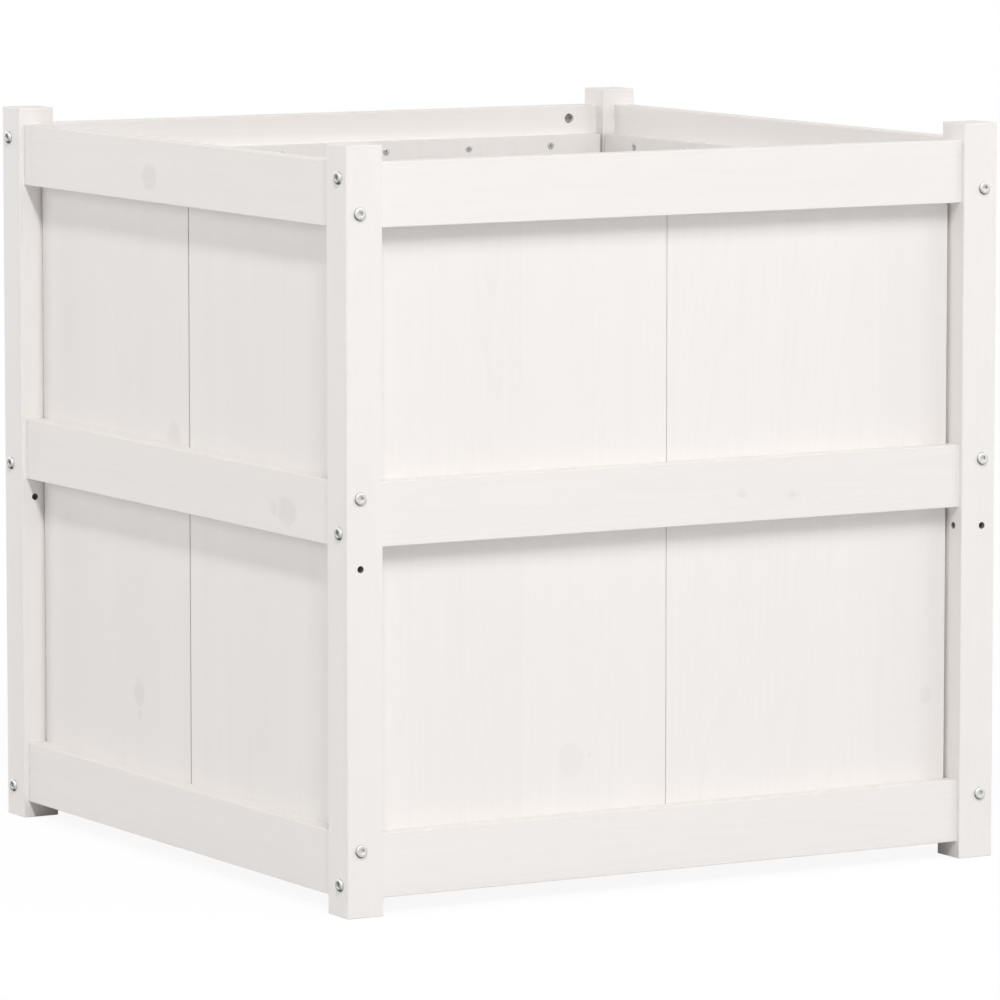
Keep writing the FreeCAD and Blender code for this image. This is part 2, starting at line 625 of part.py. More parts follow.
def make_screws(slat_count, slat_pitch):
    """Panel screws, bearer screws and slat screws."""
    panel_screws = Group("panel_screws", screw_pattern("panel_screw_pattern", PANEL_SCREW_LENGTH))
    bearer_screws = Group("bearer_screws", screw_pattern("bearer_screw_pattern", BEARER_SCREW_LENGTH))
    slat_screws = Group("slat_screws", screw_pattern("slat_screw_pattern", SLAT_SCREW_LENGTH))
    bearer_inner = f"({PANEL_INNER} + Sizes.bearer_depth)"
    for wall in WALLS:
        for sign in ("-", ""):
            for level in LEVELS:
                for along in from_seam(panel_columns(wall)):
                    panel_screws.on_wall(wall, f"{sign}{along}", PANEL_INNER, SCREW_ROW[level], FACING_INWARD)
            if wall in FLOOR_WALLS:
                for along in from_seam(bearer_columns(wall)):
                    up = SCREW_ROW["bottom"]
                    bearer_screws.on_wall(wall, f"{sign}{along}", bearer_inner, up, FACING_INWARD)
    for wall in FLOOR_WALLS:
        for index in range(slat_count):
            along = f"{index - (slat_count - 1) / 2} * {slat_pitch}"
            slat_screws.on_wall(wall, along, BEARER_MIDDLE, f"{FLOOR_LOW} + Sizes.slat_thickness", UPRIGHT)
    for group in (panel_screws, bearer_screws, slat_screws):
        group.close()


def check_model():
    """Stops before anything is written if an object failed, a cut removed nothing or a shape is bad."""
    for item in doc.Objects:
        if {"Invalid", "Error"} & set(item.State):
            raise RuntimeError(f"{item.Label} failed: {item.State}")
        if item.TypeId in ("PartDesign::Pocket", "PartDesign::Hole", "PartDesign::Mirrored"):
            if item.Shape.Volume >= item.BaseFeature.Shape.Volume - 1e-6:
                raise RuntimeError(f"{item.Label} of {item.getParentGeoFeatureGroup().Label} cuts nothing")
    for item in subparts:
        if item.Shape.isNull() or not item.Shape.isValid():
            raise RuntimeError(f"{item.Label} has a bad shape")


def write_parts():
    os.makedirs("parts", exist_ok=True)
    for item in subparts:
        item.Shape.exportStep(os.path.join("parts", f"{item.Label}.step"))
    solids = sum(len(item.Shape.Solids) for item in subparts)
    print(f"{len(subparts)} nodes, {solids} solids")


fill_sheet()
make_posts()
make_walls()
make_rail_fasteners()
make_screws(*make_floor())
doc.recompute()
check_model()
write_parts()
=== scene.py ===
"""Looks of the wooden planter: painted pine with its own grain on every board, zinc-plated fasteners,
a white studio and the photograph's camera. Metres, +Z up, the front wall faces -Y."""

import math
import random

import bmesh
import bpy
from mathutils import Matrix, Vector


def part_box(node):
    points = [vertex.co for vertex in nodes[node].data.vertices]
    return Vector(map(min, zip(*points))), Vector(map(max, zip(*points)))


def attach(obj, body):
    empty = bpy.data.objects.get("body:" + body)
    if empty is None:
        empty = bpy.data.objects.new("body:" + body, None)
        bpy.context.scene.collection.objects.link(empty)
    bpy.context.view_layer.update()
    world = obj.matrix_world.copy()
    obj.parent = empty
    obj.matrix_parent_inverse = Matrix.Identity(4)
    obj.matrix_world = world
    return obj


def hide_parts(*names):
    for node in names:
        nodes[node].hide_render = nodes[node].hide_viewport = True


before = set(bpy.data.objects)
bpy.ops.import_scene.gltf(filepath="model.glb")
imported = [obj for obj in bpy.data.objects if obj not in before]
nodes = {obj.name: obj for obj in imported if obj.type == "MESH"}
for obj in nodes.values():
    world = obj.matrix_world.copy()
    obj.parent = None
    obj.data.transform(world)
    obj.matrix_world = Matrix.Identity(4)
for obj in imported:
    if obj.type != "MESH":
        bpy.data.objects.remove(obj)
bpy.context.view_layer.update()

# Colours, linear
PAINT = (0.872, 0.843, 0.824)
WOOD_THROUGH_PAINT = (0.745, 0.705, 0.672)
BARE_PINE_AND_HOLE_SHADE = (0.30, 0.28, 0.26)
SEAM_PAINTED_SHADE = (0.42, 0.40, 0.385)
BRIGHT_ZINC = (0.60, 0.60, 0.59)
DULL_ZINC = (0.58, 0.58, 0.57)
# The barrel nuts' plate is darker than the rest, partly as painted shade of the recess that holds them
NUT_ZINC_AND_RECESS_SHADE = (0.36, 0.36, 0.35)
# Colour of the painted shade on the lower side of plate
PLATE_PAINTED_SHADE = (0.100, 0.099, 0.096)
BEECH = (0.55, 0.37, 0.21)
WHITE = (1.0, 1.0, 1.0, 1.0)

# Directions of the frame, and of each kind of board: along the grain, across it and through it
X, Y, Z = 0, 1, 2
POST, RAIL_X, RAIL_Y = (Z, X, Y), (X, Z, Y), (Y, Z, X)
PANEL_X, PANEL_Y, SLAT = (Z, X, Y), (Z, Y, X), (Y, X, Z)

# Places of fasteners and holes in millimetres. HALF is half of the planter's width, and HALF_INSIDE half of
# the inside between the walls.
MM = 0.001
HALF = 350.0
HALF_INSIDE = 313.0
BOLT_LINE = 336.0
BOLT_HEIGHTS_X = (29.5, 350.0, 670.5)
BOLT_HEIGHTS_Y = (61.5, 382.0, 638.5)
PANEL_SCREW_ROWS = (55.5, 366.0, 644.5)
PANEL_SCREW_COLUMNS = (59.15, 155.15, 251.15)
BEARER_SCREW_COLUMNS = (107.15, 203.15)
BEARER_FACE = 293.0
SLAT_SCREW_LINE = 303.0
SLAT_PITCH = 68.5
SLATS_EACH_SIDE = 4
SLAT_TOP = 93.5
SPARE_HOLE_HEIGHT = 318.0
SPARE_HOLE_RADIUS = 3.25
SPARE_DOWEL_DEPTH = 13.0
SPARE_DOWEL_RADIUS = 3.1
SPARE_DOWEL_END = 0.2
STAVE_WIDTH = 77.425

# Bolts and screws in millimetres, radii where they are round
BOLT_SHANK = 3.0
BOLT_END = -80.0
BOLT_HEAD = 6.0
BOLT_RIM = 0.6
BOLT_TOP = 2.4
BOLT_DOME = 1.8
BOLT_DOME_STEPS = 9
BOLT_SOCKET = 4.0
BOLT_SEGMENTS = 48
SCREW_SHANK = 2.0
SCREW_POINT = 5.0
SCREW_HEAD = 4.0
CROSS_ARM = 2.2
CROSS_SIDE = 0.5
CROSS_PARTS = 3
PANEL_SCREW_LENGTH = 30.0
BEARER_SCREW_LENGTH = 50.0
SLAT_SCREW_LENGTH = 30.0
DRIVE_TURN = 47
SMOOTH_BELOW_DEGREES = 32

# Painted shade on plate: the side that it darkens, as shares of the surface's direction, and how much on
# each kind of plate
PAINTED_SHADE_SIDE = (-0.34, 0.36, -0.87)
BOLT_PAINTED_SHADE = 0.95
SCREW_PAINTED_SHADE = 0.30
NUT_PAINTED_SHADE = 0.60

# Width of a growth ring in millimetres, how much darker end grain and glue lines are, how much painted
# shade upper faces get, and the paint's gloss
RING_WIDTH = 3.4
END_GRAIN_AND_TOP_SHADE = 0.65
GLUE_LINE_SHOWS = 0.06
PAINT_GLOSS = 0.35

# Depth of the relief of grain, plate and beech in metres
GRAIN_DEPTH = 0.00006
PLATE_DEPTH = 0.00004
BEECH_DEPTH = 0.0001

# Knots that the photograph shows: along the grain and across it in metres, radius in millimetres, strength
SEEN_KNOTS = {
    "left_top_rail": [(0.0460, 0.6489, 13.2, 1.05)],
    "left_middle_rail": [(-0.2276, 0.3580, 14.6, 1.0), (-0.2012, 0.3598, 6.8, 0.7)],
    "left_rear_panel": [
        (0.1487, 0.1071, 11.0, 1.05),
        (0.1274, 0.1064, 4.5, 0.8),
        (0.4010, 0.0320, 13.2, 0.9),
    ],
    "front_left_panel": [(0.1232, -0.1022, 13.5, 0.5), (0.1272, -0.0828, 2.5, 0.5)],
    "front_middle_rail": [
        (0.0715, 0.3630, 4.6, 0.85),
        (0.1260, 0.3591, 3.4, 0.85),
        (0.1262, 0.3590, 8.5, 0.2),
    ],
    "front_right_panel": [(0.1568, 0.2888, 7.5, 0.7)],
    "rear_left_post": [],
    "rear_right_post": [],
    "rear_top_rail": [],
    "right_top_rail": [],
}

# Least distance in metres from the middle of any other knot to the ends and edges of its board
KNOT_MARGIN = 0.012

FASTENERS = ("rail_bolts", "barrel_nuts", "rail_dowels", "panel_screws", "bearer_screws", "slat_screws")

# The studio's lamps, with distances in metres. Each fill has an azimuth from the front towards the left, a
# height angle, a width and a height as shares of its distance, and a level.
FILLS = (
    (-42, 40, 0.4, 0.4, 0.140),
    (-60, 20, 0.6, 0.6, 0.150),
    (120, 20, 0.6, 0.6, 0.285),
    (0, 15, 0.6, 0.6, 0.080),
    (178, 12, 0.6, 0.4, 0.260),
    (-110, 12, 0.6, 0.4, 0.200),
)
KEY_FROM = (-0.326, -0.651, 0.685)
KEY_ALONG = (-0.28, 0.759, 0.588)
KEY_LONG = 0.42
KEY_SHORT = 0.09
KEY_LEVEL = 0.510
LAMP_DISTANCE = 9.0
LAMP_AIM = (0.0, 0.0, 0.35)
SKY_LEVEL = 0.315

# The floor: the colour that it lights the planter with, the paler one that shows, and how much shows as
# plain white near the planter and below its middle, with the distances in metres over which that changes
FLOOR_COLOUR = (0.64, 0.64, 0.64, 1.0)
FLOOR_SHOWN = (0.95, 0.95, 0.95, 1.0)
FLOOR_WHITE = 0.92
FLOOR_WHITE_BELOW = 0.25
FLOOR_BELOW = (0.05, 0.27)
FLOOR_FAR = (0.6, 2.0)
FLOOR_HALF_SIDE = 30.0
FLOOR_HEIGHT = -0.0002

# The photograph's camera: place in metres, angles in degrees, lens and sensor in millimetres
CAMERA_PLACE = (-3.3030, -5.7422, 1.0922)
CAMERA_DOWN = 6.592
CAMERA_TURN = -29.989
CAMERA_LENS = 248.17
CAMERA_SENSOR = 36.0


class Graph:
    """Short forms for the nodes of one tree."""

    def __init__(self, tree):
        self.tree = tree

    def node(self, kind, **settings):
        made = self.tree.nodes.new("ShaderNode" + kind)
        for name, value in settings.items():
            setattr(made, name, value)
        return made

    def put(self, socket, value):
        if isinstance(value, bpy.types.NodeSocket):
            self.tree.links.new(value, socket)
        else:
            socket.default_value = value

    def math(self, operation, *values, clamp=False):
        made = self.node("Math", operation=operation, use_clamp=clamp)
        for socket, value in zip(made.inputs, values):
            self.put(socket, value)
        return made.outputs[0]

    def vector(self, operation, *values):
        made = self.node("VectorMath", operation=operation)
        for socket, value in zip(made.inputs, values):
            self.put(socket, value)
        return made.outputs["Vector"]

    def split(self, value):
        made = self.node("SeparateXYZ")
        self.put(made.inputs[0], value)
        return made.outputs

    def join(self, *values):
        made = self.node("CombineXYZ")
        for socket, value in zip(made.inputs, values):
            self.put(socket, value)
        return made.outputs[0]

    def stretch(self, place, *scales):
        return self.vector("MULTIPLY", place, scales)

    def length(self, a, b):
        """Length of a flat vector from its two parts."""
        return self.math("SQRT", self.math("ADD", self.math("POWER", a, 2.0), self.math("POWER", b, 2.0)))

    def noise(self, place, detail=2.0, roughness=0.5):
        made = self.node("TexNoise")
        self.put(made.inputs["Vector"], place)
        made.inputs["Scale"].default_value = 1.0
        made.inputs["Detail"].default_value = detail
        made.inputs["Roughness"].default_value = roughness
        return made.outputs[0]

    def even_noise(self, place, detail=2.0, roughness=0.5):
        """Noise about zero."""
        return self.math("SUBTRACT", self.noise(place, detail, roughness), 0.5)

    def random_of(self, value):
        made = self.node("TexWhiteNoise", noise_dimensions="1D")
        self.put(made.inputs["W"], value)
        return made.outputs["Value"]

    def curve(self, value, *points):
        """A value through straight pieces between points, each a place from 0 to 1 and its height."""
        made = self.node("ValToRGB")
        ramp = made.color_ramp
        while len(ramp.elements) < len(points):
            ramp.elements.new(0.5)
        for element, (place, height) in zip(ramp.elements, points):
            element.position = place
            element.color = (height, height, height, 1.0)
        self.put(made.inputs[0], value)
        return made.outputs[0]

    def step(self, value, low, high):
        """0 below low and 1 above high, or the other way round, with a smooth change between."""
        made = self.node("MapRange", interpolation_type="SMOOTHSTEP")
        for socket, number in zip(made.inputs, (value, low, high, 0.0, 1.0)):
            self.put(socket, number)
        return made.outputs[0]

    def mix(self, factor, a, b):
        made = self.node("Mix", data_type="RGBA")
        self.put(made.inputs["Factor"], factor)
        colours = [s for s in made.inputs if s.type == "RGBA"]
        for socket, value in zip(colours, (a, b)):
            self.put(socket, value if isinstance(value, bpy.types.NodeSocket) else (*value, 1.0))
        return [s for s in made.outputs if s.type == "RGBA"][0]

    def add_shares(self, start, shares):
        """A start value and a share of each further value."""
        for value, share in shares:
            start = self.math("MULTIPLY_ADD", value, share, start)
        return start

    def group(self, tree, **values):
        """A node of a shader group, with underscores for the spaces in its inputs' names."""
        made = self.node("Group", node_tree=tree)
        for name, value in values.items():
            self.put(made.inputs[name.replace("_", " ")], value)
        return made.outputs

    def mix_shaders(self, factor, a, b):
        made = self.node("MixShader")
        for socket, value in zip(made.inputs, (factor, a, b)):
            self.put(socket, value)
        return made.outputs[0]


def new_group(name, inputs, outputs):
    """A shader group with named inputs and outputs, V for a vector, C for a colour and F for a number."""
    kinds = {"V": "NodeSocketVector", "C": "NodeSocketColor", "F": "NodeSocketFloat"}
    tree = bpy.data.node_groups.new(name, "ShaderNodeTree")
    for label, kind in inputs:
        tree.interface.new_socket(label, in_out="INPUT", socket_type=kinds[kind])
    for label, kind in outputs:
        tree.interface.new_socket(label, in_out="OUTPUT", socket_type=kinds[kind])
    start = tree.nodes.new("NodeGroupInput")
    end = tree.nodes.new("NodeGroupOutput")
    return Graph(tree), start.outputs, end.inputs


def pine_group():
    """Planed pine under thin white paint, for a place along the grain, across it and through the board."""
    inputs = [("Place", "V"), ("Seed", "F"), ("Pith across", "F"), ("Pith through", "F"), ("Lean", "F"),
              ("Swell", "F"), ("Knot", "F"), ("Edge", "F"), ("Tone", "F")]
    g, i, o = new_group("pine", inputs, [("Color", "C"), ("Roughness", "F"), ("Height", "F")])
    along, across, through = g.split(i["Place"])
    shift = g.vector("ADD", i["Place"], g.join(g.math("MULTIPLY", i["Seed"], 3.7), i["Seed"], 0.0))

    # Growth rings round a pith that leans along the board
    wander = g.even_noise(g.stretch(shift, 1.7, 9.0, 9.0), 3.0)
    ripple = g.even_noise(g.stretch(shift, 7.0, 60.0, 60.0))
    lean = g.math("MULTIPLY", along, i["Lean"])
    from_pith_across = g.math("SUBTRACT", g.math("SUBTRACT", across, i["Pith across"]), lean)
    from_pith_through = g.math("SUBTRACT", g.math("SUBTRACT", through, i["Pith through"]), lean)
    radius = g.math("DIVIDE", g.length(from_pith_across, from_pith_through), MM)
    radius = g.add_shares(radius, ((wander, 15.0), (ripple, 1.5)))
    radius = g.math("ADD", radius, i["Swell"])
    phase = g.math("DIVIDE", radius, RING_WIDTH)
    ring = g.math("FRACT", phase)
    late = g.curve(ring, (0.0, 0.50), (0.10, 0.04), (0.40, 0.08), (0.72, 0.42), (0.92, 1.0), (1.0, 0.50))
    strong = g.random_of(g.math("ADD", g.math("FLOOR", phase), i["Seed"]))
    late = g.math("MULTIPLY", late, g.math("MULTIPLY_ADD", strong, 0.75, 0.35))

    # Fibres, and paint that lies thicker in some places than in others
    fine = g.even_noise(g.stretch(shift, 8.0, 1100.0, 1100.0))
    streak = g.even_noise(g.stretch(shift, 2.6, 170.0, 170.0), 3.0)
    broad = g.even_noise(g.stretch(shift, 1.1, 30.0, 30.0))
    mottle = g.even_noise(g.stretch(shift, 14.0, 18.0, 18.0), 4.0, 0.6)

    thin = g.math("MULTIPLY_ADD", late, 0.09, 0.09)
    thin = g.add_shares(thin, ((fine, 0.07), (streak, 0.16), (broad, 0.16), (mottle, 0.10)))
    thin = g.add_shares(thin, ((i["Knot"], 0.55), (i["Edge"], 0.10)))
    thin = g.math("ADD", thin, i["Tone"], clamp=True)
    g.put(o["Color"], g.mix(thin, PAINT, WOOD_THROUGH_PAINT))
    g.put(o["Roughness"], g.math("MULTIPLY_ADD", mottle, 0.16, g.math("MULTIPLY_ADD", late, -0.06, 0.56)))

    height = g.math("MULTIPLY", late, 0.55)
    height = g.add_shares(height, ((fine, 0.55), (streak, 0.5), (mottle, 0.5), (i["Knot"], 0.8)))
    g.put(o["Height"], height)
    return g.tree


def knot_group():
    """A knot: how much it shows, and how far the rings bend round it in millimetres."""
    inputs = [("Place", "V"), ("Centre", "V"), ("Size", "F"), ("Strength", "F"), ("Knot", "F"),
              ("Swell", "F")]
    g, i, o = new_group("knot", inputs, [("Knot", "F"), ("Swell", "F")])
    offset = g.stretch(g.vector("SUBTRACT", i["Place"], i["Centre"]), 1 / MM, 1 / MM, 0.0)
    along, across, _ = g.split(offset)
    along = g.math("DIVIDE", along, 1.25)
    uneven = g.even_noise(g.stretch(i["Place"], 90.0, 90.0, 20.0))
    reach = g.math("DIVIDE", g.length(along, across), i["Size"])
    reach = g.math("ADD", reach, g.math("MULTIPLY", uneven, 0.55))
    body = g.step(reach, 1.18, 0.72)
    patch = g.noise(g.stretch(i["Place"], 210.0, 260.0, 40.0))
    rings = g.math("MULTIPLY_ADD", g.math("SINE", g.math("MULTIPLY", reach, 17.0)), 0.035, 0.45)
    shows = g.math("MULTIPLY", body, g.math("MULTIPLY_ADD", patch, 0.5, rings))
    shows = g.math("MULTIPLY", shows, i["Strength"])
    g.put(o["Knot"], g.math("ADD", i["Knot"], shows))
    wide = g.math("DIVIDE", g.length(g.math("DIVIDE", along, 1.7), across), i["Size"])
    near = g.math("EXPONENT", g.math("MULTIPLY", g.math("POWER", wide, 2.0), -0.45))
    bend = g.math("MULTIPLY", near, g.math("MULTIPLY", i["Size"], 1.5))
    g.put(o["Swell"], g.math("ADD", i["Swell"], bend))
    return g.tree


def stave_group():
    """A wide panel glued up from narrow boards: the place within each, its glue line, tone and pith."""
    inputs = [("Place", "V"), ("Seed", "F"), ("Width", "F")]
    g, i, o = new_group("staves", inputs, [("Place", "V"), ("Line", "F"), ("Tone", "F"), ("Pith", "F")])
    along, across, through = g.split(i["Place"])
    count = g.math("DIVIDE", across, i["Width"])
    number = g.math("FLOOR", count)
    within = g.math("MULTIPLY", g.math("SUBTRACT", g.math("FRACT", count), 0.5), i["Width"])
    own = g.math("MULTIPLY_ADD", number, 1.37, i["Seed"])
    first = g.random_of(own)
    second = g.random_of(g.math("ADD", own, 0.51))
    moved = g.math("MULTIPLY_ADD", first, 2.9, along)
    g.put(o["Place"], g.join(moved, g.math("MULTIPLY_ADD", number, 0.21, within), through))
    side = g.math("SUBTRACT", g.math("MULTIPLY", i["Width"], 0.5), g.math("ABSOLUTE", within))
    g.put(o["Line"], g.step(side, 0.0006, 0.0001))
    g.put(o["Tone"], g.math("MULTIPLY_ADD", second, 0.10, -0.05))
    pith = g.math("MULTIPLY_ADD", number, 0.21, g.math("MULTIPLY_ADD", second, 0.05, -0.025))
    g.put(o["Pith"], pith)
    return g.tree


PINE, KNOT, STAVES = pine_group(), knot_group(), stave_group()


def new_material(name):
    material = bpy.data.materials.new(name)
    material.use_nodes = True
    material.node_tree.nodes.clear()
    graph = Graph(material.node_tree)
    shader = graph.node("BsdfPrincipled")
    end = graph.node("OutputMaterial")
    graph.put(end.inputs["Surface"], shader.outputs[0])
    return material, graph, shader.inputs


def put_material(item, material):
    item.data.materials.clear()
    item.data.materials.append(material)


def bump(graph, shader, height, depth):
    made = graph.node("Bump")
    made.inputs["Strength"].default_value = 1.0
    made.inputs["Distance"].default_value = depth
    graph.put(made.inputs["Height"], height)
    graph.put(shader["Normal"], made.outputs[0])


def surface_normal(graph):
    return graph.split(graph.node("NewGeometry").outputs["Normal"])


def worn_edge(graph, place, centred, half, axes):
    """1 on the rounded long edges of a board, which hold less paint, broken up by noise."""
    near = []
    for axis in axes[1:]:
        side = graph.math("ABSOLUTE", centred[axis])
        near.append(graph.step(side, half[axis] - 0.003, half[axis] - 0.0002))
    rough = graph.noise(graph.stretch(place, 60.0, 400.0, 400.0))
    return graph.math("MULTIPLY", graph.math("MULTIPLY", near[0], near[1]), rough)


def board_material(name, axes, knots=(), stave=None, holes=(), seam=0):
    """Painted pine for one board. axes are its directions along and across the grain and through it, knots
    are places along and across in the planter's frame with radii in millimetres and strengths, stave is the
    width of glued boards, holes are drilled holes, coloured as bare wood darkened further with painted
    shade, each a direction, its middle, half of its length and a radius, and seam is the side of a panel
    that meets the next one, 1 or -1, where a narrow band is painted with shade."""
    chance = random.Random(name)
    low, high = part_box(name)
    middle = (low + high) / 2
    half = (high - low) / 2
    along, across, through = axes
    material, g, shader = new_material(name + "_paint")
    world = g.node("TexCoord").outputs["Object"]
    centred = g.split(g.vector("SUBTRACT", world, tuple(middle)))
    place = g.join(centred[along], centred[across], centred[through])
    seed = chance.uniform(0.0, 40.0)

    swell, knot = 0.0, 0.0
    for where_along, where_across, size, strength in knots:
        centre = (where_along - middle[along], where_across - middle[across], 0.0)
        found = g.group(
            KNOT, Place=place, Centre=centre, Size=size, Strength=strength, Knot=knot, Swell=swell,
        )
        knot, swell = found["Knot"], found["Swell"]

    edge = worn_edge(g, place, centred, half, axes)
    tone = chance.uniform(-0.03, 0.03)
    pith_across = chance.uniform(-0.6, 0.6) * half[across]
    pith_through = -chance.choice((-1, 1)) * (half[through] + chance.uniform(0.012, 0.05))
    lean = chance.choice((-1, 1)) * chance.uniform(0.012, 0.035)
    grain = place
    if stave:
        glued = g.group(STAVES, Place=place, Seed=seed, Width=stave)
        grain = glued["Place"]
        pith_across = glued["Pith"]
        tone = g.math("ADD", glued["Tone"], g.math("MULTIPLY_ADD", glued["Line"], GLUE_LINE_SHOWS, tone))

    # End grain drinks the paint, so it is a little darker, and upper faces are darkened by the same amount
    # as painted shade
    normal = surface_normal(g)
    end_grain_or_top = g.math("MAXIMUM", g.math("ABSOLUTE", normal[along]), normal[Z])
    tone = g.math("MULTIPLY_ADD", g.step(end_grain_or_top, 0.55, 0.95), END_GRAIN_AND_TOP_SHADE, tone)
    figure = g.group(
        PINE, Place=grain, Seed=seed, Pith_across=pith_across, Pith_through=pith_through, Lean=lean,
        Swell=swell, Knot=knot, Edge=edge, Tone=tone,
    )

    colour = figure["Color"]
    # Drilled holes show bare wood, given a darker colour than bare pine as painted shade inside them
    for axis, point, reach, radius in holes:
        offset = list(g.split(g.vector("SUBTRACT", world, point)))
        deep = g.math("LESS_THAN", g.math("ABSOLUTE", offset.pop(axis)), reach)
        inside = g.step(g.length(*offset), radius + 0.00025, radius + 0.00005)
        colour = g.mix(g.math("MULTIPLY", inside, deep), colour, BARE_PINE_AND_HOLE_SHADE)
    # A narrow band along the side where a panel meets the next one is darkened as painted shade in the seam
    if seam:
        side = g.math("MULTIPLY", centred[across], seam)
        meets = g.step(side, half[across] - 0.0010, half[across] - 0.0002)
        colour = g.mix(meets, colour, SEAM_PAINTED_SHADE)
    g.put(shader["Base Color"], colour)
    g.put(shader["Roughness"], figure["Roughness"])
    shader["Specular IOR Level"].default_value = PAINT_GLOSS
    bump(g, shader, figure["Height"], GRAIN_DEPTH)
    return material


def zinc_material(name, colour, painted_shade):
    """Zinc plate, a little uneven, with fine marks, and painted shade that darkens the faces turned down
    and to one side.
    """
    material, g, shader = new_material(name)
    place = g.node("TexCoord").outputs["Object"]
    cloud = g.noise(g.stretch(place, 260.0, 260.0, 260.0), 3.0)
    speck = g.noise(g.stretch(place, 2600.0, 2600.0, 2600.0))
    tone = g.math("MULTIPLY_ADD", speck, 0.4, g.math("MULTIPLY", cloud, 0.6))
    plate = g.mix(tone, tuple(0.86 * c for c in colour), tuple(1.14 * c for c in colour))
    lean = g.math("MULTIPLY", g.math("SUBTRACT", cloud, 0.5), 0.25)
    lean = g.add_shares(lean, zip(surface_normal(g), PAINTED_SHADE_SIDE))
    # Painted shade: faces turned down and to one side are darkened towards a dark colour
    under = g.step(lean, 0.0, 0.62)
    g.put(shader["Base Color"], g.mix(g.math("MULTIPLY", under, painted_shade), plate, PLATE_PAINTED_SHADE))
    rough = g.math("MULTIPLY_ADD", cloud, 0.20, 0.42)
    g.put(shader["Roughness"], g.math("MULTIPLY_ADD", under, 0.25, rough))
    shader["Metallic"].default_value = 1.0
    bump(g, shader, speck, PLATE_DEPTH)
    return material


def beech_material():
    """Bare turned beech with short flecks."""
    material, g, shader = new_material("bare_beech")
    place = g.node("TexCoord").outputs["Object"]
    fleck = g.noise(g.stretch(place, 700.0, 700.0, 220.0), 3.0)
    g.put(shader["Base Color"], g.mix(fleck, BEECH, tuple(1.3 * c for c in BEECH)))
    shader["Roughness"].default_value = 0.7
    bump(g, shader, fleck, BEECH_DEPTH)
    return material


def axes_of(name):
    if name.endswith("_post"):
        return POST
    if name.startswith("floor_slat"):
        return SLAT
    beside = name.startswith(("left_", "right_"))
    if name.endswith("_panel"):
        return PANEL_Y if beside else PANEL_X
    return RAIL_Y if beside else RAIL_X


def unseen_knots(name, axes):
    """A few knots for a board that the photograph doesn't show."""
    chance = random.Random(name + " knots")
    low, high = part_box(name)
    found = []
    for _ in range(chance.choice((0, 1, 1, 2))):
        spots = [chance.uniform(low[axis] + KNOT_MARGIN, high[axis] - KNOT_MARGIN) for axis in axes[:2]]
        found.append((*spots, chance.uniform(3.5, 10.0), chance.uniform(0.7, 1.0)))
    return found


def spare_holes(post):
    """The empty bolt hole and dowel hole of a post."""
    sx = -1 if "left" in post else 1
    sy = -1 if "front" in post else 1
    height = SPARE_HOLE_HEIGHT * MM
    bolt = (sx * BOLT_LINE * MM, sy * (HALF + HALF_INSIDE) / 2 * MM, height)
    dowel = (sx * (HALF_INSIDE + SPARE_DOWEL_DEPTH / 2) * MM, sy * BOLT_LINE * MM, height)
    bolt_reach = (HALF - HALF_INSIDE) / 2 * MM
    dowel_reach = (SPARE_DOWEL_DEPTH / 2 + SPARE_DOWEL_END) * MM
    return [(Y, bolt, bolt_reach, SPARE_HOLE_RADIUS * MM), (X, dowel, dowel_reach, SPARE_DOWEL_RADIUS * MM)]


def paint_boards():
    for name, item in nodes.items():
        if name in FASTENERS:
            continue
        axes = axes_of(name)
        seen = name in SEEN_KNOTS or name.startswith(("front_", "left_"))
        knots = SEEN_KNOTS.get(name, []) if seen else unseen_knots(name, axes)
        holes = spare_holes(name) if name.endswith("_post") else []
        stave = STAVE_WIDTH * MM if name.endswith("_panel") else None
        seam = 0
        if axes == PANEL_Y:
            seam = 1 if name.endswith("front_panel") else -1
        put_material(item, board_material(name, axes, knots, stave, holes, seam))


def ring_mesh(bm, rings, angles, matrix):
    """Joins closed rings, each a height with a radius or a function of the angle to a radius, into a skin
    that ends in a point at both ends."""
    loops = []
    for radius, height in rings:
        points = []
        for angle in angles:
            reach = radius(angle) if callable(radius) else radius
            point = Vector((reach * math.cos(angle), reach * math.sin(angle), height))
            points.append(bm.verts.new(matrix @ point))
        loops.append(points)
    count = len(angles)
    for lower, upper in zip(loops, loops[1:]):
        for k in range(count):
            n = (k + 1) % count
            bm.faces.new((lower[k], lower[n], upper[n], upper[k]))
    for loop, height, turn in ((loops[0], rings[0][1], True), (loops[-1], rings[-1][1], False)):
        tip = bm.verts.new(matrix @ Vector((0.0, 0.0, height)))
        for k in range(count):
            n = (k + 1) % count
            bm.faces.new((loop[n], loop[k], tip) if turn else (loop[k], loop[n], tip))


def finish_piece(name, bm, stands_for, material):
    """Makes one piece of a bmesh in millimetres that stands for a CAD node."""
    mesh = bpy.data.meshes.new(name)
    bmesh.ops.scale(bm, vec=(MM, MM, MM), verts=bm.verts)
    bmesh.ops.recalc_face_normals(bm, faces=bm.faces)
    bm.to_mesh(mesh)
    bm.free()
    mesh.shade_smooth()
    mesh.set_sharp_from_angle(angle=math.radians(SMOOTH_BELOW_DEGREES))
    piece = bpy.data.objects.new(name, mesh)
    bpy.context.scene.collection.objects.link(piece)
    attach(piece, "root")
    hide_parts(stands_for)
    put_material(piece, material)


def facing(point, direction, turn):
    """A frame at a point whose Z runs along a direction, turned about it."""
    spin = Matrix.Rotation(math.radians(turn), 4, "Z")
    aim = Vector(direction).to_track_quat("Z", "Y").to_matrix().to_4x4()
    return Matrix.Translation(point) @ aim @ spin


def hexagon(width):
    """Radius of a hexagon at an angle, from its width across the flats."""
    sixth = math.pi / 3
    return lambda angle: width / 2 / math.cos((angle + sixth / 2) % sixth - sixth / 2)


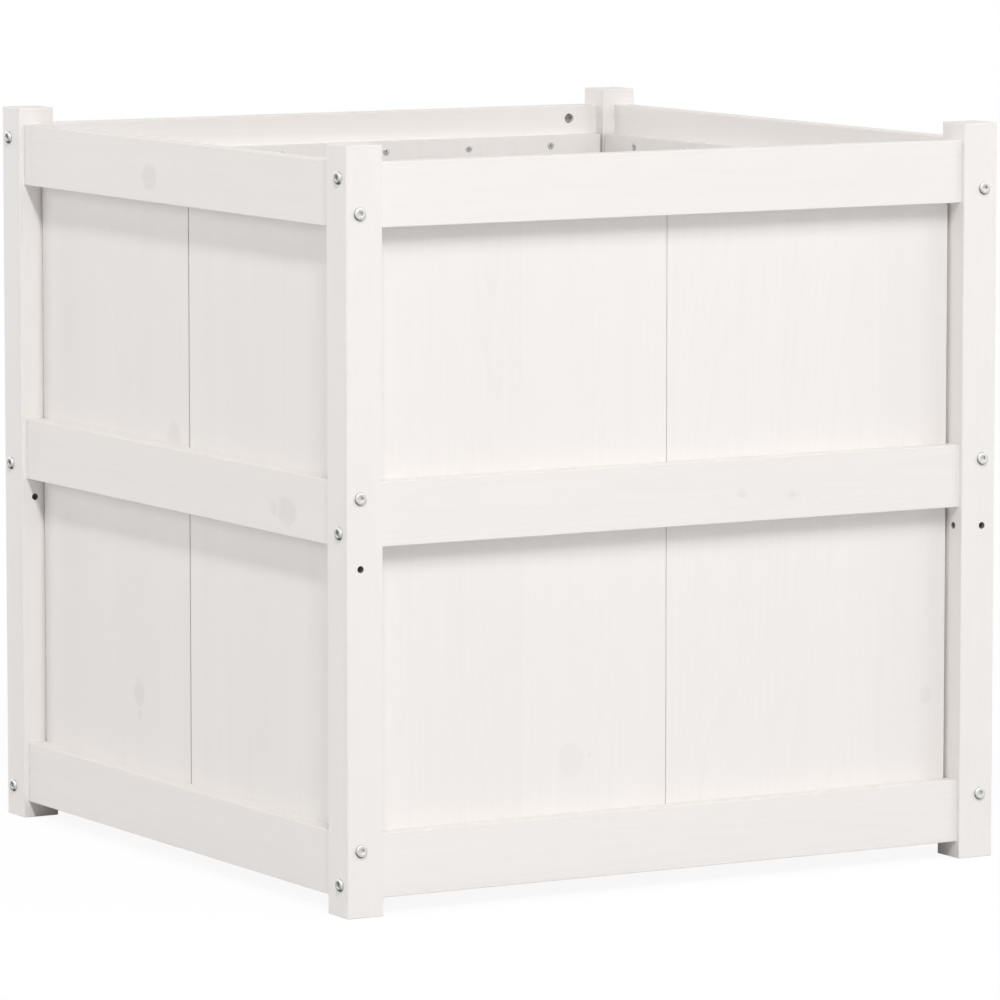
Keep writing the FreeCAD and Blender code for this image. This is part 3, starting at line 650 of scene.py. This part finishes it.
def bolt_rings():
    """A furniture bolt from its tip to the floor of its hex socket."""
    rings = [(1.9, BOLT_END), (BOLT_SHANK, BOLT_END + 1.4), (BOLT_SHANK, -0.35), (3.25, -0.02)]
    rings += [(5.35, -0.01), (5.72, 0.05), (BOLT_HEAD, 0.28), (BOLT_HEAD, BOLT_RIM)]
    for k in range(1, BOLT_DOME_STEPS + 1):
        angle = math.pi / 2 * k / BOLT_DOME_STEPS
        inner = BOLT_HEAD - BOLT_DOME + BOLT_DOME * math.cos(angle)
        rings.append((inner, BOLT_RIM + BOLT_DOME * math.sin(angle)))
    socket = hexagon(BOLT_SOCKET)
    rings += [(2.62, BOLT_TOP), (socket, BOLT_TOP - 0.32), (socket, BOLT_TOP - 1.8)]
    rings += [(hexagon(BOLT_SOCKET - 0.4), BOLT_TOP - 1.9), (0.6, BOLT_TOP - 2.0)]
    return rings


def make_bolts():
    bm = bmesh.new()
    angles = [2 * math.pi * k / BOLT_SEGMENTS for k in range(BOLT_SEGMENTS)]
    rings = bolt_rings()
    turn = 0
    for sx in (-1, 1):
        for sy in (-1, 1):
            for z in BOLT_HEIGHTS_X:
                ring_mesh(bm, rings, angles, facing((sx * HALF, sy * BOLT_LINE, z), (sx, 0, 0), turn))
                turn += DRIVE_TURN
            for z in BOLT_HEIGHTS_Y:
                ring_mesh(bm, rings, angles, facing((sx * BOLT_LINE, sy * HALF, z), (0, sy, 0), turn))
                turn += DRIVE_TURN
    finish_piece("rail_bolts_plated", bm, "rail_bolts", BOLT_PLATE)


def cross(arm, side):
    """Radius of a plus-shaped outline at an angle."""
    def radius(angle):
        fold = angle % (math.pi / 2)
        fold = min(fold, math.pi / 2 - fold)
        return arm / math.cos(fold) if math.tan(fold) < side / arm else side / math.sin(fold)
    return radius


def cross_angles(arm, side):
    """Angles that meet every corner of the cross, with some between them."""
    corner = math.atan2(side, arm)
    marks = []
    for quarter in range(4):
        marks += [quarter * math.pi / 2 + a for a in (corner, math.pi / 4, math.pi / 2 - corner)]
    marks.append(marks[0] + 2 * math.pi)
    angles = []
    for a, b in zip(marks, marks[1:]):
        angles += [a + (b - a) * k / CROSS_PARTS for k in range(CROSS_PARTS)]
    return angles


def screw_rings(length):
    """A countersunk wood screw from its point to the floor of its cross recess."""
    shank = [(0.05, -length), (SCREW_SHANK, SCREW_POINT - length), (SCREW_SHANK, -2.1), (2.1, -1.92)]
    head = [(SCREW_HEAD - 0.12, -0.14), (SCREW_HEAD, -0.06), (SCREW_HEAD - 0.1, 0.0)]
    recess = [
        (cross(CROSS_ARM, CROSS_SIDE), 0.0),
        (cross(CROSS_ARM * 0.86, CROSS_SIDE * 0.86), -0.5),
        (cross(CROSS_ARM * 0.5, CROSS_SIDE * 0.6), -1.4),
        (0.1, -1.6),
    ]
    return shank + head + recess


def make_screws(name, stands_for, length, places):
    bm = bmesh.new()
    angles = cross_angles(CROSS_ARM, CROSS_SIDE)
    rings = screw_rings(length)
    for number, (point, direction) in enumerate(places):
        ring_mesh(bm, rings, angles, facing(point, direction, DRIVE_TURN * number))
    finish_piece(name, bm, stands_for, SCREW_PLATE)


def wall_places(columns, rows, face, walls):
    """Screw heads on the inner faces of walls, each with the way that it faces."""
    places = []
    for turn in walls:
        spin = Matrix.Rotation(math.radians(turn), 3, "Z")
        for column in columns:
            for sign in (-1, 1):
                for row in rows:
                    places.append((spin @ Vector((sign * column, -face, row)), spin @ Vector((0, 1, 0))))
    return places


def slat_places():
    """Screw heads on the slats, above the bearers."""
    places = []
    for side in (-1, 1):
        for k in range(-SLATS_EACH_SIDE, SLATS_EACH_SIDE + 1):
            places.append((Vector((k * SLAT_PITCH, side * SLAT_SCREW_LINE, SLAT_TOP)), (0, 0, 1)))
    return places


def make_all_screws():
    panel = wall_places(PANEL_SCREW_COLUMNS, PANEL_SCREW_ROWS, HALF_INSIDE, (0, 90, 180, 270))
    make_screws("panel_screws_plated", "panel_screws", PANEL_SCREW_LENGTH, panel)
    bearer = wall_places(BEARER_SCREW_COLUMNS, PANEL_SCREW_ROWS[:1], BEARER_FACE, (0, 180))
    make_screws("bearer_screws_plated", "bearer_screws", BEARER_SCREW_LENGTH, bearer)
    make_screws("slat_screws_plated", "slat_screws", SLAT_SCREW_LENGTH, slat_places())


def seen_directly(graph):
    """1 for what the camera sees, also in metal or through glass."""
    path = graph.node("LightPath").outputs
    found = graph.math("MAXIMUM", path["Is Camera Ray"], path["Is Glossy Ray"])
    return graph.math("MAXIMUM", found, path["Is Transmission Ray"])


def coloured(graph, kind, colour):
    """A plain shader of one colour."""
    made = graph.node(kind)
    made.inputs["Color"].default_value = colour
    return made


def make_world():
    """Soft light from all around, with a white background for what the camera sees."""
    world = bpy.data.worlds.new("studio")
    bpy.context.scene.world = world
    world.use_nodes = True
    world.node_tree.nodes.clear()
    g = Graph(world.node_tree)
    light = coloured(g, "Background", WHITE)
    light.inputs["Strength"].default_value = SKY_LEVEL
    white = coloured(g, "Background", WHITE)
    both = g.mix_shaders(seen_directly(g), light.outputs[0], white.outputs[0])
    g.put(g.node("OutputWorld").inputs["Surface"], both)


def floor_material():
    """A pale floor that shows as white, with the planter's soft shadow near it and shade below it."""
    material = bpy.data.materials.new("floor")
    material.use_nodes = True
    material.node_tree.nodes.clear()
    g = Graph(material.node_tree)
    pale = coloured(g, "BsdfDiffuse", FLOOR_COLOUR)
    bright = coloured(g, "BsdfDiffuse", FLOOR_SHOWN)
    white = coloured(g, "Emission", WHITE)
    x, y, _ = g.split(g.node("TexCoord").outputs["Object"])
    below = g.math("MAXIMUM", g.math("ABSOLUTE", x), g.math("ABSOLUTE", y))
    beside = g.step(below, *FLOOR_BELOW)
    share = g.math("MULTIPLY_ADD", beside, FLOOR_WHITE - FLOOR_WHITE_BELOW, FLOOR_WHITE_BELOW)
    far = g.step(g.length(x, y), *FLOOR_FAR)
    share = g.math("MULTIPLY_ADD", far, 1.0 - FLOOR_WHITE, share)
    shown = g.mix_shaders(share, bright.outputs[0], white.outputs[0])
    both = g.mix_shaders(seen_directly(g), pale.outputs[0], shown)
    g.put(g.node("OutputMaterial").inputs["Surface"], both)
    return material


def make_floor():
    mesh = bpy.data.meshes.new("floor")
    bm = bmesh.new()
    bmesh.ops.create_grid(bm, x_segments=1, y_segments=1, size=FLOOR_HALF_SIDE)
    bm.to_mesh(mesh)
    bm.free()
    floor = bpy.data.objects.new("floor", mesh)
    floor.location.z = FLOOR_HEIGHT
    bpy.context.scene.collection.objects.link(floor)
    put_material(floor, floor_material())


def make_lamp(towards, along, long_share, short_share, level):
    """A soft box in a direction from the planter, its long side nearest to a second direction."""
    towards = Vector(towards).normalized()
    along = Vector(along)
    along = (along - towards * along.dot(towards)).normalized()
    lamp = bpy.data.lights.new("lamp", "AREA")
    lamp.shape = "RECTANGLE"
    lamp.size = LAMP_DISTANCE * long_share
    lamp.size_y = LAMP_DISTANCE * short_share
    lamp.energy = math.pi ** 2 * level * LAMP_DISTANCE ** 2
    item = bpy.data.objects.new("lamp", lamp)
    bpy.context.scene.collection.objects.link(item)
    turn = Matrix((along, towards.cross(along), towards)).transposed()
    place = towards * LAMP_DISTANCE + Vector(LAMP_AIM)
    item.matrix_world = Matrix.Translation(place) @ turn.to_4x4()


def make_lamps():
    make_lamp(KEY_FROM, KEY_ALONG, KEY_LONG, KEY_SHORT, KEY_LEVEL)
    for azimuth, height, wide, tall, level in FILLS:
        a, h = math.radians(azimuth), math.radians(height)
        towards = (-math.sin(a) * math.cos(h), -math.cos(a) * math.cos(h), math.sin(h))
        make_lamp(towards, (0, 0, 1), tall, wide, level)


def make_camera():
    data = bpy.data.cameras.new("camera")
    data.sensor_width = CAMERA_SENSOR
    data.lens = CAMERA_LENS
    camera = bpy.data.objects.new("camera", data)
    camera.location = CAMERA_PLACE
    camera.rotation_euler = (math.radians(90 - CAMERA_DOWN), 0.0, math.radians(CAMERA_TURN))
    bpy.context.scene.collection.objects.link(camera)
    bpy.context.scene.camera = camera


BOLT_PLATE = zinc_material("bright_zinc_plate", BRIGHT_ZINC, BOLT_PAINTED_SHADE)
SCREW_PLATE = zinc_material("dull_zinc_plate", DULL_ZINC, SCREW_PAINTED_SHADE)
paint_boards()
for fastener in FASTENERS:
    put_material(nodes[fastener], SCREW_PLATE)
put_material(nodes["barrel_nuts"], zinc_material("barrel_zinc_plate", NUT_ZINC_AND_RECESS_SHADE, NUT_PAINTED_SHADE))
put_material(nodes["rail_dowels"], beech_material())
make_bolts()
make_all_screws()
make_world()
make_floor()
make_lamps()
make_camera()
bpy.context.scene.view_settings.view_transform = "Standard"
